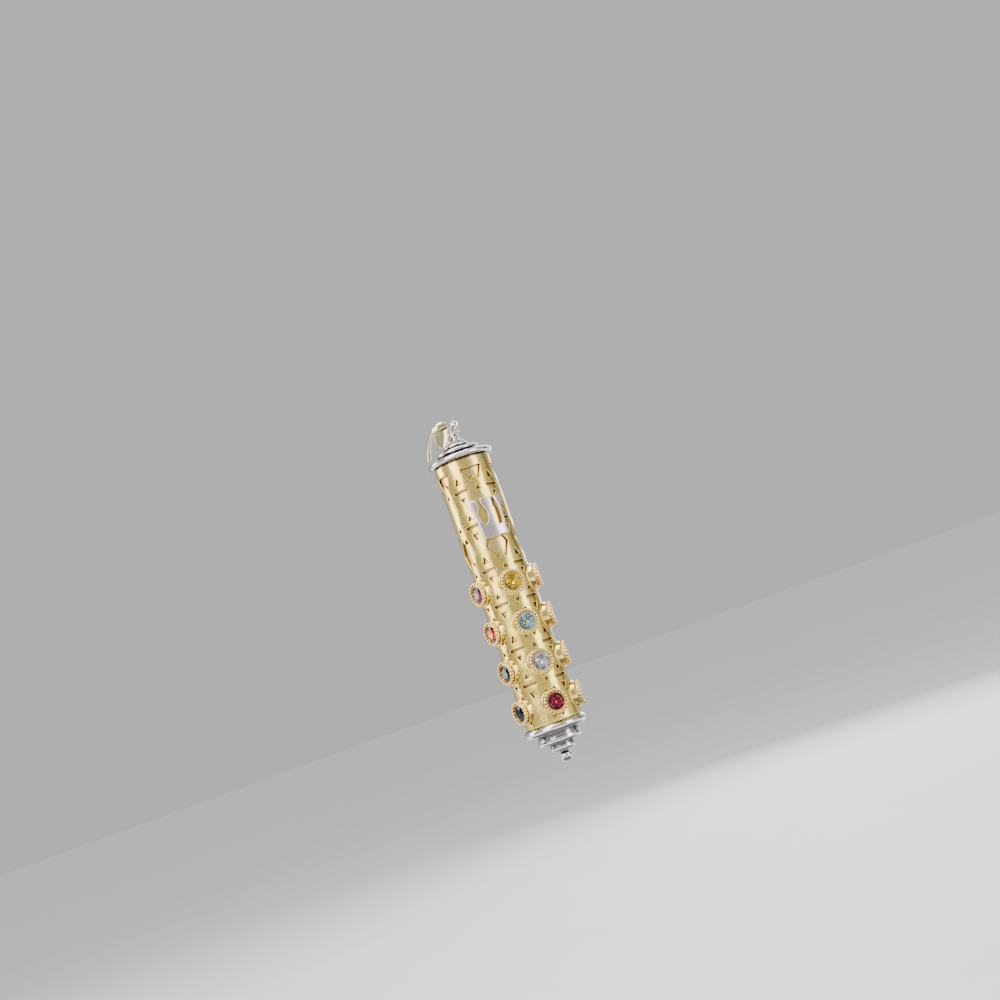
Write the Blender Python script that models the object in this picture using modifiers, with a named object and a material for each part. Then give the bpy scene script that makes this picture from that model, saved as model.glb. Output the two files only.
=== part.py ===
"""Pendant mezuzah case: a plain gold tube in a pierced gold sleeve, closed by stepped white-gold caps.

Twelve round stones in bezels stand on the sleeve in three columns of four, under a three-armed
emblem. A connector ring runs through the eye on the top cap and carries a folded bail, and the
bottom cap pulls off so that the parchment scroll can be put in.

The tube stands along +Z, its front faces -Y, and the origin is the finial's lowest point.
Driving dimensions are in millimetres; the model is in metres.
"""

import math

import bmesh
import bpy
from mathutils import Matrix, Vector

MM = 0.001

# Tube and sleeve
SLEEVE_R = 5.0
SLEEVE_BORE_R = 4.58
TUBE_R = 4.55
BORE_R = 4.1
SLEEVE_Z = (7.08, 54.78)
TUBE_SEGMENTS = 40

# Openwork lattice: a star row and a window row repeat up the sleeve, five columns round it
COLUMNS = 5
COLUMN_TURN = 360 / COLUMNS
LOWEST_WINDOW = 10.35
ROW_PITCH = 14.3
WINDOW_ROWS = [LOWEST_WINDOW + ROW_PITCH * row for row in range(4)]
STAR_ROWS = [LOWEST_WINDOW + ROW_PITCH * (row + 0.5) for row in range(3)]
BORDER_TOP = 53.05
WINDOW_HALF = (2.09, 2.57)
WINDOW_NOTCH = (0.77, 1.71)
SLIT_HALF = (1.36, 0.22)
SLIT_OFFSET = 3.15
TIP_HOLE = (2.79, 3.60, 0.44)
INNER_HOLE = (1.97, 1.20, 0.44)
OUTER_HOLE = (4.45, 5.64, 0.54)
CUT_DEPTH = (3.4, 7.0)
CUTTER_TOP = 60.0

# Caps: (height of the middle, radius, thickness) of each round-edged disc
TOP_DISCS = ((57.90, 2.25, 0.56), (56.93, 3.80, 0.63), (55.54, 5.80, 0.93))
TOP_NECKS = (1.5, 3.0, 4.6)
BOTTOM_DISCS = ((6.26, 5.50, 1.55), (4.05, 3.85, 1.05), (2.565, 2.23, 0.97))
BOTTOM_NECKS = (3.65, 2.10)
PLUG_R = 4.0
PLUG_LENGTH = 3.2
SEAT_GAP = 0.04
FINIAL_R = 1.0
FINIAL_NECK_R = 0.8

# Stones and bezels, measured from the tube's axis outwards
STONE_COLUMNS = (-COLUMN_TURN, 0.0, COLUMN_TURN)
COLUMN_NAMES = ("left", "middle", "right")
STONE_ROWS = [LOWEST_WINDOW + ROW_PITCH * half / 2 for half in (3, 2, 1, 0)]
STONE_R = 1.5
STONE_TABLE_R = 0.85
STONE_TABLE = 6.2
STONE_GIRDLE = (5.93, 5.85)
STONE_CULET = 5.2
BEZEL_PROFILE = (
    (2.30, 4.40),
    (1.00, 4.40),
    (1.00, 5.40),
    (1.55, 5.83),
    (1.65, 6.28),
    (2.00, 6.30),
    (2.17, 6.20),
    (2.05, 5.55),
    (2.30, 5.45),
)
BEZEL_SEGMENTS = 16
STONE_SEGMENTS = 12
SURFACE_GAP = 0.03

# Emblem
EMBLEM_Z = 40.05
EMBLEM_TURN = 2.5
EMBLEM_R = (5.04, 5.90)
EMBLEM_OUTLINE = (
    (-2.42, 0.00), (2.42, 0.00), (2.52, 3.60), (2.70, 4.70), (3.28, 5.90), (3.34, 7.00),
    (1.78, 6.95), (1.68, 6.20), (2.08, 4.60), (1.92, 2.20), (0.85, 2.20), (0.54, 4.50),
    (1.10, 5.60), (1.14, 6.95), (-0.92, 7.05), (-0.94, 6.00), (-0.32, 4.60), (-0.50, 3.50),
    (-1.15, 2.50), (-1.86, 3.40), (-1.98, 4.60), (-1.56, 5.50), (-1.56, 7.00), (-3.22, 7.05),
    (-3.18, 6.10), (-2.70, 4.80), (-2.56, 3.60),
)

# Eye, ring and bail share a frame that is turned about the tube's axis
FITTINGS_TURN = -15.0
EYE_WIRE_R = 0.28
EYE_ARCH_R = 0.93
EYE_ARCH_Z = 59.33
EYE_FOOT_X = 1.30
EYE_BEAD_R = 0.33
EYE_BEAD_X = 1.46
RING_CENTRE = (0.5, 0.0, 60.6)
RING_LEAN = 26.6
RING_R = (1.3, 1.8)
RING_HALF_WIDTH = (0.25, 0.55)
RING_BEVEL = 0.12
LUG_R = (0.85, 0.2)
BAIL_THICKNESS = 0.34
FOLD_CENTRE = (0.4, 62.25)
FOLD_R = 0.8
FOLD_EDGES = (-2.95, -0.05)
FOLD_CROWN = 0.28
ARM_TOP = (-3.10, -0.46, 61.36)
ARM_DROP = 4.4
ARM_REACH = 2.05
ARM_BEND = 78.0

# Scroll
SCROLL_Z = (15.6, 51.0)
SCROLL_R = (1.3, 2.5)
SCROLL_TURNS = 2.2
SCROLL_SHEET = 0.3

PARTS = "mezuzah_case"
CUTTERS = "cutters"


# ---------------------------------------------------------------- scene, collections, materials

def clear_scene():
    for obj in list(bpy.data.objects):
        bpy.data.objects.remove(obj)


def collection(name, hidden):
    made = bpy.data.collections.new(name)
    made.hide_render = hidden
    bpy.context.scene.collection.children.link(made)
    return made


def material(name, colour, metallic, roughness, transmission=0.0):
    made = bpy.data.materials.new(name)
    made.use_nodes = True
    shader = made.node_tree.nodes["Principled BSDF"]
    shader.inputs["Base Color"].default_value = (*colour, 1.0)
    shader.inputs["Metallic"].default_value = metallic
    shader.inputs["Roughness"].default_value = roughness
    shader.inputs["Transmission Weight"].default_value = transmission
    made.diffuse_color = (*colour, 1.0)
    return made


def link(name, mesh, home, look=None):
    obj = bpy.data.objects.new(name, mesh)
    bpy.data.collections[home].objects.link(obj)
    if look:
        mesh.materials.append(look)
    if home == CUTTERS:
        obj.hide_render = True
        obj.display_type = "WIRE"
    return obj


def link_bmesh(name, bm, home, look=None):
    bmesh.ops.recalc_face_normals(bm, faces=bm.faces)
    mesh = bpy.data.meshes.new(name)
    bm.to_mesh(mesh)
    bm.free()
    mesh.shade_smooth()
    mesh.set_sharp_from_angle(angle=math.radians(30))
    return link(name, mesh, home, look)


def boolean(obj, operation, other):
    cut = obj.modifiers.new(f"{operation.lower()}_{other.name}", "BOOLEAN")
    cut.operation = operation
    cut.solver = "EXACT"
    cut.object = other


# ---------------------------------------------------------------- shape builders

def turned(name, profile, segments, home, look=None, ring=False):
    """A profile of (radius, height) points, from the top down its outer side, turned about Z."""
    mesh = bpy.data.meshes.new(name)
    points = [(r * MM, 0, z * MM) for r, z in profile]
    edges = [(i, i + 1) for i in range(len(points) - 1)]
    if ring:
        edges.append((len(points) - 1, 0))
    mesh.from_pydata(points, edges, [])
    obj = link(name, mesh, home, look)
    screw = obj.modifiers.new("turn", "SCREW")
    screw.axis = "Z"
    screw.steps = segments
    screw.render_steps = segments
    screw.use_merge_vertices = True
    screw.merge_threshold = 1e-6
    screw.use_smooth_shade = True
    return obj


def prism(bm, outline, near, far, turn, height):
    """Adds a flat outline of (across, up) points, drawn out from near to far along a turned -Y."""
    place = Matrix.Rotation(math.radians(turn), 4, "Z") @ Matrix.Translation((0, 0, height * MM))
    corners = [bm.verts.new(place @ Vector((x * MM, -near * MM, z * MM))) for x, z in outline]
    start = bm.faces.new(corners)
    drawn = bmesh.ops.extrude_face_region(bm, geom=[start], use_keep_orig=True)
    moved = [item for item in drawn["geom"] if isinstance(item, bmesh.types.BMVert)]
    outwards = place.to_3x3() @ Vector((0, -(far - near) * MM, 0))
    bmesh.ops.translate(bm, verts=moved, vec=outwards)


def loft(bm, sections, closed):
    """Skins a row of sections that have the same number of points."""
    rows = [[bm.verts.new(point * MM) for point in section] for section in sections]
    count = len(rows[0])
    pairs = list(zip(rows, rows[1:]))
    if closed:
        pairs.append((rows[-1], rows[0]))
    for this, following in pairs:
        for i in range(count):
            j = (i + 1) % count
            bm.faces.new((this[i], this[j], following[j], following[i]))
    if not closed:
        bm.faces.new(rows[0])
        bm.faces.new(rows[-1])


def rounded_edge(middle, radius, thickness, steps=4):
    """The half-round edge of a disc, from its upper side to its lower side."""
    half = thickness / 2
    turns = [math.pi / 2 - math.pi * i / steps for i in range(steps + 1)]
    return [(radius - half + half * math.cos(t), middle + half * math.sin(t)) for t in turns]


def arc_to_flat(across, radius):
    """How far across the front a length along the curved surface reaches."""
    return radius * math.sin(across / radius)


# ---------------------------------------------------------------- tube and sleeve

def make_tube(look):
    low, high = SLEEVE_Z
    profile = [(TUBE_R, high), (TUBE_R, low), (BORE_R, low), (BORE_R, high)]
    turned("inner_tube", profile, TUBE_SEGMENTS, PARTS, look, ring=True)


def triangle(base, apex, half):
    return [(-half, base), (half, base), (0, apex)]


def window_outline():
    half_width, half_height = WINDOW_HALF
    side, notch = WINDOW_NOTCH
    upper = [(half_width, 0), (side, half_height), (0, notch), (-side, half_height)]
    return upper + [(-x, -z) for x, z in upper]


def clipped_window():
    """The topmost window, whose upper half the plain border covers."""
    half_width, half_height = WINDOW_HALF
    side, notch = WINDOW_NOTCH
    lip = BORDER_TOP - WINDOW_ROWS[-1]
    edge = half_width + (half_width - side) * lip / half_height
    return [(-edge, lip), (-side, -half_height), (0, -notch), (side, -half_height), (edge, lip)]


def flatten(outline):
    return [(arc_to_flat(x, SLEEVE_R), z) for x, z in outline]


def cut_openwork(bm):
    near, far = CUT_DEPTH
    for column in range(COLUMNS):
        star_turn = column * COLUMN_TURN
        web_turn = star_turn + COLUMN_TURN / 2
        for height in WINDOW_ROWS[:-1]:
            prism(bm, flatten(window_outline()), near, far, star_turn, height)
        prism(bm, flatten(clipped_window()), near, far, star_turn, WINDOW_ROWS[-1])
        for height in STAR_ROWS:
            for side in (1, -1):
                base, apex, half = TIP_HOLE
                prism(bm, triangle(side * base, side * apex, half), near, far, star_turn, height)
                width, depth = SLIT_HALF
                z = side * SLIT_OFFSET
                slit = [(-width, z - depth), (width, z - depth), (width, z + depth), (-width, z + depth)]
                prism(bm, slit, near, far, web_turn, height)
                for base, apex, half in (INNER_HOLE, OUTER_HOLE):
                    prism(bm, triangle(side * base, side * apex, half), near, far, web_turn, height)


def make_sleeve(look):
    low, high = SLEEVE_Z
    profile = [(SLEEVE_R, high), (SLEEVE_R, low), (SLEEVE_BORE_R, low), (SLEEVE_BORE_R, high)]
    sleeve = turned("openwork_sleeve", profile, TUBE_SEGMENTS, PARTS, look, ring=True)
    bm = bmesh.new()
    cut_openwork(bm)
    boolean(sleeve, "DIFFERENCE", link_bmesh("openwork_cutter", bm, CUTTERS))


# ---------------------------------------------------------------- caps and finial

def make_top_cap(look):
    lowest = SLEEVE_Z[1] + SEAT_GAP
    profile = [(0, TOP_DISCS[0][0] + TOP_DISCS[0][2] / 2)]
    for (middle, radius, thickness), neck, below in zip(TOP_DISCS, TOP_NECKS, TOP_DISCS[1:] + (None,)):
        profile += rounded_edge(middle, radius, thickness)
        profile.append((neck, middle - thickness / 2))
        profile.append((neck, below[0] + below[2] / 2 if below else lowest))
    profile += [(PLUG_R, lowest), (PLUG_R, lowest - PLUG_LENGTH), (0, lowest - PLUG_LENGTH)]
    turned("top_cap", profile, 32, PARTS, look)


def make_bottom_cap(look, parent):
    seat = BOTTOM_DISCS[0][0] + BOTTOM_DISCS[0][2] / 2
    profile = [(0, seat + PLUG_LENGTH), (PLUG_R, seat + PLUG_LENGTH), (PLUG_R, seat)]
    for i, (middle, radius, thickness) in enumerate(BOTTOM_DISCS):
        profile += rounded_edge(middle, radius, thickness)
        if i < len(BOTTOM_NECKS):
            following = BOTTOM_DISCS[i + 1]
            profile.append((BOTTOM_NECKS[i], middle - thickness / 2))
            profile.append((BOTTOM_NECKS[i], following[0] + following[2] / 2))
    profile.append((0, BOTTOM_DISCS[-1][0] - BOTTOM_DISCS[-1][2] / 2))
    turned("bottom_cap", profile, 32, PARTS, look).parent = parent


def make_finial(look, parent):
    top = BOTTOM_DISCS[-1][0] - BOTTOM_DISCS[-1][2] / 2 - SEAT_GAP
    neck = math.asin(FINIAL_NECK_R / FINIAL_R)
    steps = 8
    turns = [neck + (math.pi - neck) * i / steps for i in range(steps + 1)]
    ball = [(FINIAL_R * math.sin(t), FINIAL_R + FINIAL_R * math.cos(t)) for t in turns]
    ball[-1] = (0, 0)
    profile = [(0, top), (FINIAL_NECK_R, top)] + ball
    turned("finial", profile, 16, PARTS, look).parent = parent


# ---------------------------------------------------------------- stones and bezels

def face_out(obj, turn, height):
    """Lays an object that was built along +Z so that it points out from the tube's axis."""
    spin = Matrix.Rotation(math.radians(turn), 4, "Z")
    tip = Matrix.Rotation(math.radians(90), 4, "X")
    obj.matrix_world = Matrix.Translation((0, 0, height * MM)) @ spin @ tip


def make_stones(gold, gems):
    bound = SLEEVE_R + SURFACE_GAP
    cylinder = [(0, CUTTER_TOP), (bound, CUTTER_TOP), (bound, 0), (0, 0)]
    surface = turned("sleeve_surface", cylinder, TUBE_SEGMENTS, CUTTERS)
    stone_profile = [
        (0, STONE_TABLE),
        (STONE_TABLE_R, STONE_TABLE),
        (STONE_R, STONE_GIRDLE[0]),
        (STONE_R, STONE_GIRDLE[1]),
        (0, STONE_CULET),
    ]
    for column, turn in zip(COLUMN_NAMES, STONE_COLUMNS):
        for row, height in enumerate(STONE_ROWS, start=1):
            bezel = turned(f"bezel_{column}_{row}", BEZEL_PROFILE, BEZEL_SEGMENTS, PARTS, gold, ring=True)
            face_out(bezel, turn, height)
            boolean(bezel, "DIFFERENCE", surface)
            gem = gems[column][row - 1]
            stone = turned(f"stone_{column}_{row}", stone_profile, STONE_SEGMENTS, PARTS, gem)
            face_out(stone, turn, height)


# ---------------------------------------------------------------- emblem

def make_emblem(look):
    bm = bmesh.new()
    outline = [(arc_to_flat(x, EMBLEM_R[1]), z) for x, z in EMBLEM_OUTLINE]
    prism(bm, outline, *CUT_DEPTH, EMBLEM_TURN, EMBLEM_Z)
    emblem = link_bmesh("front_emblem", bm, PARTS, look)
    inner, outer = EMBLEM_R
    profile = [(outer, CUTTER_TOP), (outer, 0), (inner, 0), (inner, CUTTER_TOP)]
    boolean(emblem, "INTERSECT", turned("emblem_shell", profile, TUBE_SEGMENTS, CUTTERS, ring=True))


# ---------------------------------------------------------------- eye, ring and bail

def wire_sections(path, radius, sides):
    """Round sections square to a path in the XZ plane."""
    sections = []
    for i, point in enumerate(path):
        before = path[max(i - 1, 0)]
        after = path[min(i + 1, len(path) - 1)]
        along = (after - before).normalized()
        side = Vector((0, 1, 0))
        across = along.cross(side)
        turns = [2 * math.pi * k / sides for k in range(sides)]
        sections.append([point + radius * (math.cos(t) * side + math.sin(t) * across) for t in turns])
    return sections


def settle(obj, pivot):
    """Hangs an object that was built in the fittings' frame on a pivot in that frame."""
    obj.data.transform(Matrix.Translation(-pivot.location))
    obj.parent = pivot


def empty(name, place, parent=None, turn=0.0):
    made = bpy.data.objects.new(name, None)
    made.location = Vector(place) * MM
    made.rotation_euler.z = math.radians(turn)
    made.parent = parent
    made.empty_display_size = 2 * MM
    bpy.data.collections[PARTS].objects.link(made)
    return made


def make_eye(look, frame):
    foot = TOP_DISCS[0][0] + TOP_DISCS[0][2] / 2 + SEAT_GAP
    steps = 10
    arch = [math.radians(200 - 220 * i / steps) for i in range(steps + 1)]
    path = [Vector((EYE_ARCH_R * math.cos(t), 0, EYE_ARCH_Z + EYE_ARCH_R * math.sin(t))) for t in arch]
    path = [Vector((-EYE_FOOT_X, 0, foot))] + path + [Vector((EYE_FOOT_X, 0, foot))]
    sections = wire_sections(path, EYE_WIRE_R, 8)
    for end in (0, -1):
        for point in sections[end]:
            point.z = foot
    bm = bmesh.new()
    loft(bm, sections, closed=False)
    eye = link_bmesh("hanging_eye", bm, PARTS, look)
    eye.parent = frame
    for side, name in ((-1, "left"), (1, "right")):
        bm = bmesh.new()
        bmesh.ops.create_icosphere(bm, subdivisions=2, radius=EYE_BEAD_R * MM)
        place = Vector((side * EYE_BEAD_X, 0, foot + EYE_BEAD_R)) * MM
        bmesh.ops.translate(bm, verts=bm.verts, vec=place)
        bead = link_bmesh(f"eye_bead_{name}", bm, CUTTERS)
        bead.parent = frame
        boolean(eye, "UNION", bead)


def make_ring(look, pivot):
    """A flat band ring, broad at its top and narrow where it runs through the eye."""
    lean = math.radians(RING_LEAN)
    up = Vector((math.sin(lean), 0, math.cos(lean)))
    axis = Vector((math.cos(lean), 0, -math.sin(lean)))
    back = Vector((0, 1, 0))
    inner, outer = RING_R
    narrow, broad = RING_HALF_WIDTH
    bevel = RING_BEVEL
    steps = 28
    sections = []
    for i in range(steps):
        turn = 2 * math.pi * i / steps
        radial = math.cos(turn) * up + math.sin(turn) * back
        half = narrow + (broad - narrow) * (1 + math.cos(turn)) / 2
        shape = (
            (inner, half - bevel), (inner + bevel, half), (outer - bevel, half), (outer, half - bevel),
            (outer, bevel - half), (outer - bevel, -half), (inner + bevel, -half), (inner, bevel - half),
        )
        sections.append([Vector(RING_CENTRE) + r * radial + w * axis for r, w in shape])
    bm = bmesh.new()
    loft(bm, sections, closed=True)
    settle(link_bmesh("connector_ring", bm, PARTS, look), pivot)


def bail_stations():
    """(left edge, right edge, depth, height, crown) up the back leaf, over the fold, down the free arm."""
    leaf = [
        (-2.42, -1.98, 1.16, 58.45, 0.00),
        (-2.72, -1.62, 1.24, 58.75, 0.06),
        (-3.02, -1.10, 1.30, 59.40, 0.14),
        (-3.18, -0.60, 1.32, 60.20, 0.20),
        (-3.14, -0.30, 1.28, 61.00, 0.24),
        (-3.00, -0.12, 1.22, 61.70, 0.28),
    ]
    fold = []
    for degrees in (10, 40, 70, 100, 130, 160):
        rise = math.sin(math.radians(degrees))
        depth = FOLD_CENTRE[0] + FOLD_R * math.cos(math.radians(degrees))
        height = FOLD_CENTRE[1] + (FOLD_R - 0.12) * rise
        left, right = FOLD_EDGES
        fold.append((left + 0.30 * rise, right - 0.30 * rise, depth, height, FOLD_CROWN + 0.12 * rise))
    lip = [
        (-3.02, -0.05, -0.40, 62.12, 0.26),
        (-3.12, -0.12, -0.42, 61.88, 0.22),
        (-3.22, -1.40, -0.44, 61.66, 0.10),
        (-3.42, -2.78, -0.46, 61.36, 0.00),
    ]
    arm = []
    steps = 7
    across, depth, top = ARM_TOP
    for i in range(1, steps + 1):
        share = i / steps
        middle = across - ARM_REACH * math.sin(share * math.radians(ARM_BEND))
        half = 0.25 + 0.12 * share
        arm.append((middle - half, middle + half, depth - 0.25 * share, top - ARM_DROP * share, 0.0))
    return leaf + fold + lip + arm


def make_bail(look, pivot, lug_place):
    stations = bail_stations()
    across = 5
    sections = []
    for i, (left, right, depth, height, crown) in enumerate(stations):
        before = stations[max(i - 1, 0)]
        after = stations[min(i + 1, len(stations) - 1)]
        along = Vector((0, after[2] - before[2], after[3] - before[3])).normalized()
        outward = Vector((0, along.z, -along.y))
        outer, inner = [], []
        for k in range(across):
            share = k / (across - 1)
            bulge = crown * (1 - (2 * share - 1) ** 2)
            middle = Vector((left + (right - left) * share, depth, height)) + outward * (bulge - crown)
            outer.append(middle + outward * BAIL_THICKNESS / 2)
            inner.append(middle - outward * BAIL_THICKNESS / 2)
        sections.append(outer + inner[::-1])
    bm = bmesh.new()
    loft(bm, sections, closed=False)
    bail = link_bmesh("bail", bm, PARTS, look)
    major, minor = LUG_R
    bpy.ops.mesh.primitive_torus_add(
        major_radius=major * MM, minor_radius=minor * MM, major_segments=16, minor_segments=8
    )
    lug = bpy.context.object
    lug.name = "bail_lug"
    lug.data.transform(Matrix.Translation(Vector(lug_place) * MM))
    for home in list(lug.users_collection):
        home.objects.unlink(lug)
    bpy.data.collections[CUTTERS].objects.link(lug)
    lug.hide_render = True
    lug.display_type = "WIRE"
    boolean(bail, "UNION", lug)
    settle(bail, pivot)
    settle(lug, pivot)


# ---------------------------------------------------------------- scroll

def make_scroll(look):
    """A sheet rolled into a spiral, long edge up."""
    inner, outer = SCROLL_R
    steps = 44
    outside, inside = [], []
    for i in range(steps + 1):
        turn = 2 * math.pi * SCROLL_TURNS * i / steps
        radius = inner + (outer - inner) * i / steps
        ray = Vector((math.cos(turn), math.sin(turn), 0))
        outside.append(ray * radius)
        inside.append(ray * (radius - SCROLL_SHEET))
    sections = []
    for outside_point, inside_point in zip(outside, inside):
        lows = [point + Vector((0, 0, SCROLL_Z[0])) for point in (inside_point, outside_point)]
        highs = [point + Vector((0, 0, SCROLL_Z[1])) for point in (outside_point, inside_point)]
        sections.append(lows + highs)
    bm = bmesh.new()
    loft(bm, sections, closed=False)
    link_bmesh("parchment_scroll", bm, PARTS, look)


def main():
    clear_scene()
    collection(PARTS, hidden=False)
    collection(CUTTERS, hidden=True)
    pale_gold = material("pale_yellow_gold", (0.83, 0.68, 0.38), 1.0, 0.24)
    tube_gold = material("satin_tube_gold", (0.86, 0.70, 0.40), 1.0, 0.34)
    rich_gold = material("rich_yellow_gold", (0.90, 0.64, 0.26), 1.0, 0.20)
    white_gold = material("white_gold", (0.86, 0.83, 0.81), 1.0, 0.12)
    emblem_gold = material("brushed_white_gold", (0.82, 0.79, 0.79), 1.0, 0.30)
    bail_gold = material("greenish_gold", (0.72, 0.67, 0.42), 1.0, 0.18)
    parchment = material("parchment", (0.80, 0.72, 0.56), 0.0, 0.80)
    gem_colours = {
        "left": (("purple", (0.22, 0.02, 0.16)), ("orange", (0.75, 0.12, 0.01)),
                 ("violet", (0.02, 0.01, 0.05)), ("black", (0.006, 0.005, 0.010))),
        "middle": (("yellow", (0.80, 0.52, 0.01)), ("light_blue", (0.35, 0.62, 0.72)),
                   ("clear", (0.92, 0.92, 0.94)), ("ruby", (0.42, 0.01, 0.06))),
        "right": (("green", (0.02, 0.35, 0.12)), ("blue", (0.03, 0.08, 0.45)),
                  ("turquoise", (0.05, 0.45, 0.42)), ("pink", (0.70, 0.18, 0.35))),
    }
    gems = {
        column: [material(f"stone_{name}", colour, 0.0, 0.03, 0.6) for name, colour in stones]
        for column, stones in gem_colours.items()
    }

    make_tube(tube_gold)
    make_sleeve(pale_gold)
    make_scroll(parchment)
    make_top_cap(white_gold)
    cap_pivot = empty("bottom_cap_pivot", (0, 0, 0))
    make_bottom_cap(white_gold, cap_pivot)
    make_finial(white_gold, cap_pivot)
    make_stones(rich_gold, gems)
    make_emblem(emblem_gold)

    frame = empty("fittings_frame", (0, 0, 0), turn=FITTINGS_TURN)
    make_eye(white_gold, frame)
    ring_pivot = empty("ring_pivot", (0, 0, EYE_ARCH_Z + EYE_ARCH_R), frame)
    make_ring(white_gold, ring_pivot)
    band_middle = sum(RING_R) / 2
    lug_place = (RING_CENTRE[0], band_middle, RING_CENTRE[2])
    bail_pivot = empty("bail_pivot", lug_place, frame)
    make_bail(bail_gold, bail_pivot, lug_place)


main()
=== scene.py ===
"""Looks of a pendant mezuzah case: gold tube, pierced sleeve, set stones, stepped white-gold caps.

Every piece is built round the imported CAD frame, in its place and inside its box. Lengths are in
millimetres and are turned into metres where a mesh is made.
"""

import math

import bmesh
import bpy
from mathutils import Matrix, Vector, noise


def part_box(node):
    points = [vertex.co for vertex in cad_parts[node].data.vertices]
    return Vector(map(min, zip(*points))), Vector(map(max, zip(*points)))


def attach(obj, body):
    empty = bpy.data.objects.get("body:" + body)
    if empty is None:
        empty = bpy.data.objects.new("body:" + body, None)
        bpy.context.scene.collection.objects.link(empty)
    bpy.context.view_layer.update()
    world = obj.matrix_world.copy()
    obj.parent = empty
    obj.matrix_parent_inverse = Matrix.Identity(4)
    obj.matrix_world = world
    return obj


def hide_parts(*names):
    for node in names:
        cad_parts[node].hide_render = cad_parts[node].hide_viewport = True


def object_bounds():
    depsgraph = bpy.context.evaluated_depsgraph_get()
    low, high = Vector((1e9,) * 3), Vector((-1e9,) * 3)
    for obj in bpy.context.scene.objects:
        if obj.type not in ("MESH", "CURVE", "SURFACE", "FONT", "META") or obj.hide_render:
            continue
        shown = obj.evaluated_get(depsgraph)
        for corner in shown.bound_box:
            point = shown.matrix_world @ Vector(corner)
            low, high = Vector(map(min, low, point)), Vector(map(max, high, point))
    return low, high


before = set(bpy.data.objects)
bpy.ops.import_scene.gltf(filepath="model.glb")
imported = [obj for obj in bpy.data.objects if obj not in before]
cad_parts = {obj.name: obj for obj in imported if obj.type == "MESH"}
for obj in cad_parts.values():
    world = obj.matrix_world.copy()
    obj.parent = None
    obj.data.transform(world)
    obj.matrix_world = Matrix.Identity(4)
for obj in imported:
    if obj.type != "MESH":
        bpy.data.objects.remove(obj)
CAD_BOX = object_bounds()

MM = 0.001
ROUND_STEPS = 6


def cad_size(node):
    low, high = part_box(node)
    return low / MM, high / MM


SLEEVE_LOW, SLEEVE_HIGH = cad_size("openwork_sleeve")
SLEEVE_R = SLEEVE_HIGH.x
SLEEVE_WALL = 0.42
TUBE_R = cad_size("inner_tube")[1].x
TUBE_WALL = 0.45
PLUG_R = 4.0
PLUG_LENGTH = 3.2

# Openwork lattice, as on the CAD sleeve: half a column runs from a star's middle to a web's middle
COLUMNS = 5
HALF_COLUMN = math.pi * SLEEVE_R / COLUMNS
ROW_PITCH = 14.3
LOWEST_WINDOW = 10.35
STAR_ROWS = [LOWEST_WINDOW + ROW_PITCH * (row + 0.5) for row in range(3)]
WINDOW_ROWS = [LOWEST_WINDOW + ROW_PITCH * row for row in range(3)]
TOP_WINDOW = (LOWEST_WINDOW + ROW_PITCH * 3, 53.05)
WINDOW_HALF = (2.09, 2.57)
WINDOW_NOTCH = (0.77, 1.71)
SLIT_HALF = (1.36, 0.22)
SLIT_OFFSET = 3.15
TIP_HOLE = (2.79, 3.60, 0.44)
WEB_HOLES = ((1.97, 1.20, 0.44), (4.45, 5.64, 0.54))
EDGE_ROUND = 0.10
SHEET_MARGIN = 2.5
WELD = 1e-4
SLICES_ACROSS = 16
SLICES_UP = 96
RIPPLE = ((0.50, 0.045), (1.3, 0.020))

# Caps, from the CAD: (height of the middle, radius, thickness) of each disc, and the necks under them
TOP_DISCS = ((57.90, 2.25, 0.56), (56.93, 3.80, 0.63), (55.54, 5.80, 0.93))
TOP_NECKS = (1.5, 3.0, 4.6)
BOTTOM_DISCS = ((6.26, 5.50, 1.55), (4.05, 3.85, 1.05), (2.565, 2.23, 0.97))
BOTTOM_NECKS = (3.65, 2.10)
SEAT_GAP = 0.04
CAP_SEGMENTS = 144
RECESS_FADE = 0.35
PLUG_ROUND = 0.3
FINIAL_R = 1.0
FINIAL_NECK_R = 0.62
FINIAL_COLLAR = (0.80, 0.16, 0.08)
FINIAL_STEPS = 40

# Stones and bezels: heights are measured out from the tube's axis
COLUMN_TURNS = {"left": -72.0, "middle": 0.0, "right": 72.0}
STONE_ROWS = [STAR_ROWS[1], WINDOW_ROWS[1], STAR_ROWS[0], WINDOW_ROWS[0]]
STONE_R = 1.5
TABLE = (0.85, 6.20)
GIRDLE = (5.93, 5.85)
CULET = 5.10
BEADS = 20
BEAD_STEPS = 8
BEAD_RING = (1.91, 6.05)
BEAD_R = (0.03, 0.25)
SADDLE_R = SLEEVE_R + 0.03
BEZEL_R = (1.00, 2.30)
BEZEL_FLANGE = ((2.30, 5.34), (2.28, 5.42), (2.22, 5.47), (2.12, 5.49), (1.98, 5.53))
BEZEL_WALL = (2.00, 0.09)
BEZEL_SEAT = (
    (1.62, 6.02), (1.50, 6.03), (1.47, 5.99), (1.54, 5.93), (1.55, 5.80), (1.30, 5.60), (1.00, 5.40),
)
PAVILION_SHARE = 0.35
CROWN_SHARE = 0.5
SPIN_PER_ROW = 0.31

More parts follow.
